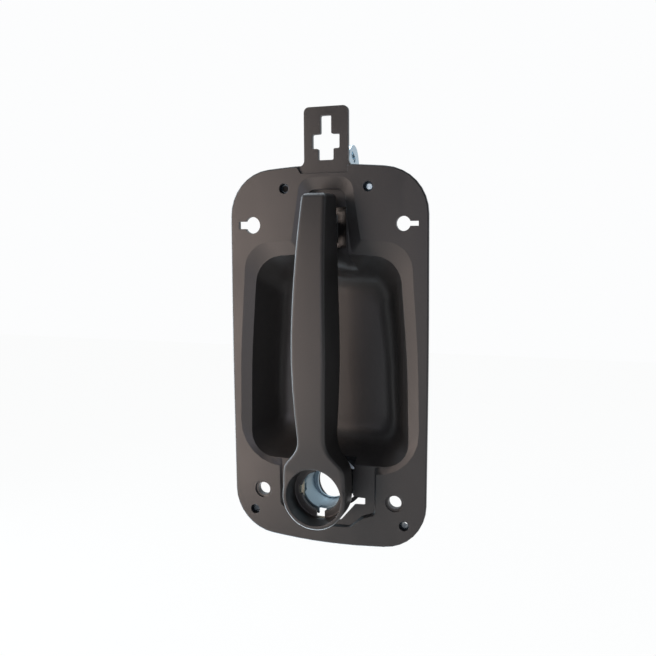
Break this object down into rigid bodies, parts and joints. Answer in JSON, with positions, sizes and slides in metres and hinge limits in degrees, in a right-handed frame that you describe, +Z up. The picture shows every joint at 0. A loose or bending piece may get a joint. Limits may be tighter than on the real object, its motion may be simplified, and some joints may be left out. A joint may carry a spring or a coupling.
{
  "type": "exterior door handle",
  "caption": "Moulded exterior door handle whose bow grip swings out over a hand cup on pivot pins, with a lock ring at its foot and a release lever at its top.",
  "frame": {"origin": "middle of the flange's back face, which seats on the door skin", "axes": "+X to the right seen from outside the door, +Y into the door, +Z up along the grip"},
  "size_m": [0.1448, 0.0893, 0.3083],
  "materials": {
    "bezel_plastic": "satin black moulding",
    "grip_plastic": "satin black moulding",
    "zinc_steel": "bright zinc plating",
    "cast_zinc": "cast zinc alloy",
    "clip_nylon": "natural nylon",
    "bush_bronze": "sintered bronze",
    "insert_brass": "nickel-plated brass",
    "bumper_rubber": "moulded rubber",
    "black_steel": "black electrocoated steel"
  },
  "bodies": {
    "housing": {"bezel": "bezel_plastic", "threaded_inserts": "insert_brass", "hinge_bracket": "black_steel", "hinge_bracket_screws": "zinc_steel", "hinge_pin_left": "zinc_steel", "hinge_pin_right": "zinc_steel", "handle_return_spring": "zinc_steel", "lever_bracket": "zinc_steel", "lever_bracket_screws": "zinc_steel", "stop_bumper": "bumper_rubber", "lever_pivot_pin": "zinc_steel", "lever_pin_clip": "zinc_steel", "lever_return_spring": "zinc_steel"},
    "handle": {"grip_shell": "grip_plastic", "grip_back_cover": "grip_plastic", "grip_cover_screws": "zinc_steel", "lock_housing": "cast_zinc", "lock_housing_screws": "zinc_steel", "lock_retaining_clip": "clip_nylon", "hinge_bushes": "bush_bronze", "actuator_arm": "black_steel", "actuator_arm_screws": "zinc_steel", "actuator_pin": "zinc_steel"},
    "lever": {"release_lever": "zinc_steel", "lever_bushes": "bush_bronze"}
  },
  "joints": [
    {"name": "handle_pivot", "type": "hinge", "parent": "housing", "child": "handle", "pos_m": [0, 0.006, -0.089], "axis": [1, 0, 0], "range_deg": [0, 8], "stiffness_Nm_per_rad": 10, "springref_deg": -6.88, "deforming": ["handle_return_spring"]},
    {"name": "release_lever_pivot", "type": "hinge", "parent": "housing", "child": "lever", "pos_m": [0, 0.034, 0.122], "axis": [1, 0, 0], "range_deg": [-38.4, 0], "stiffness_Nm_per_rad": 0.3, "springref_deg": 28.65, "deforming": ["lever_return_spring"]}
  ],
  "couplings": [
    {"joint": "release_lever_pivot", "follows": "handle_pivot", "ratio": -4.8}
  ]
}
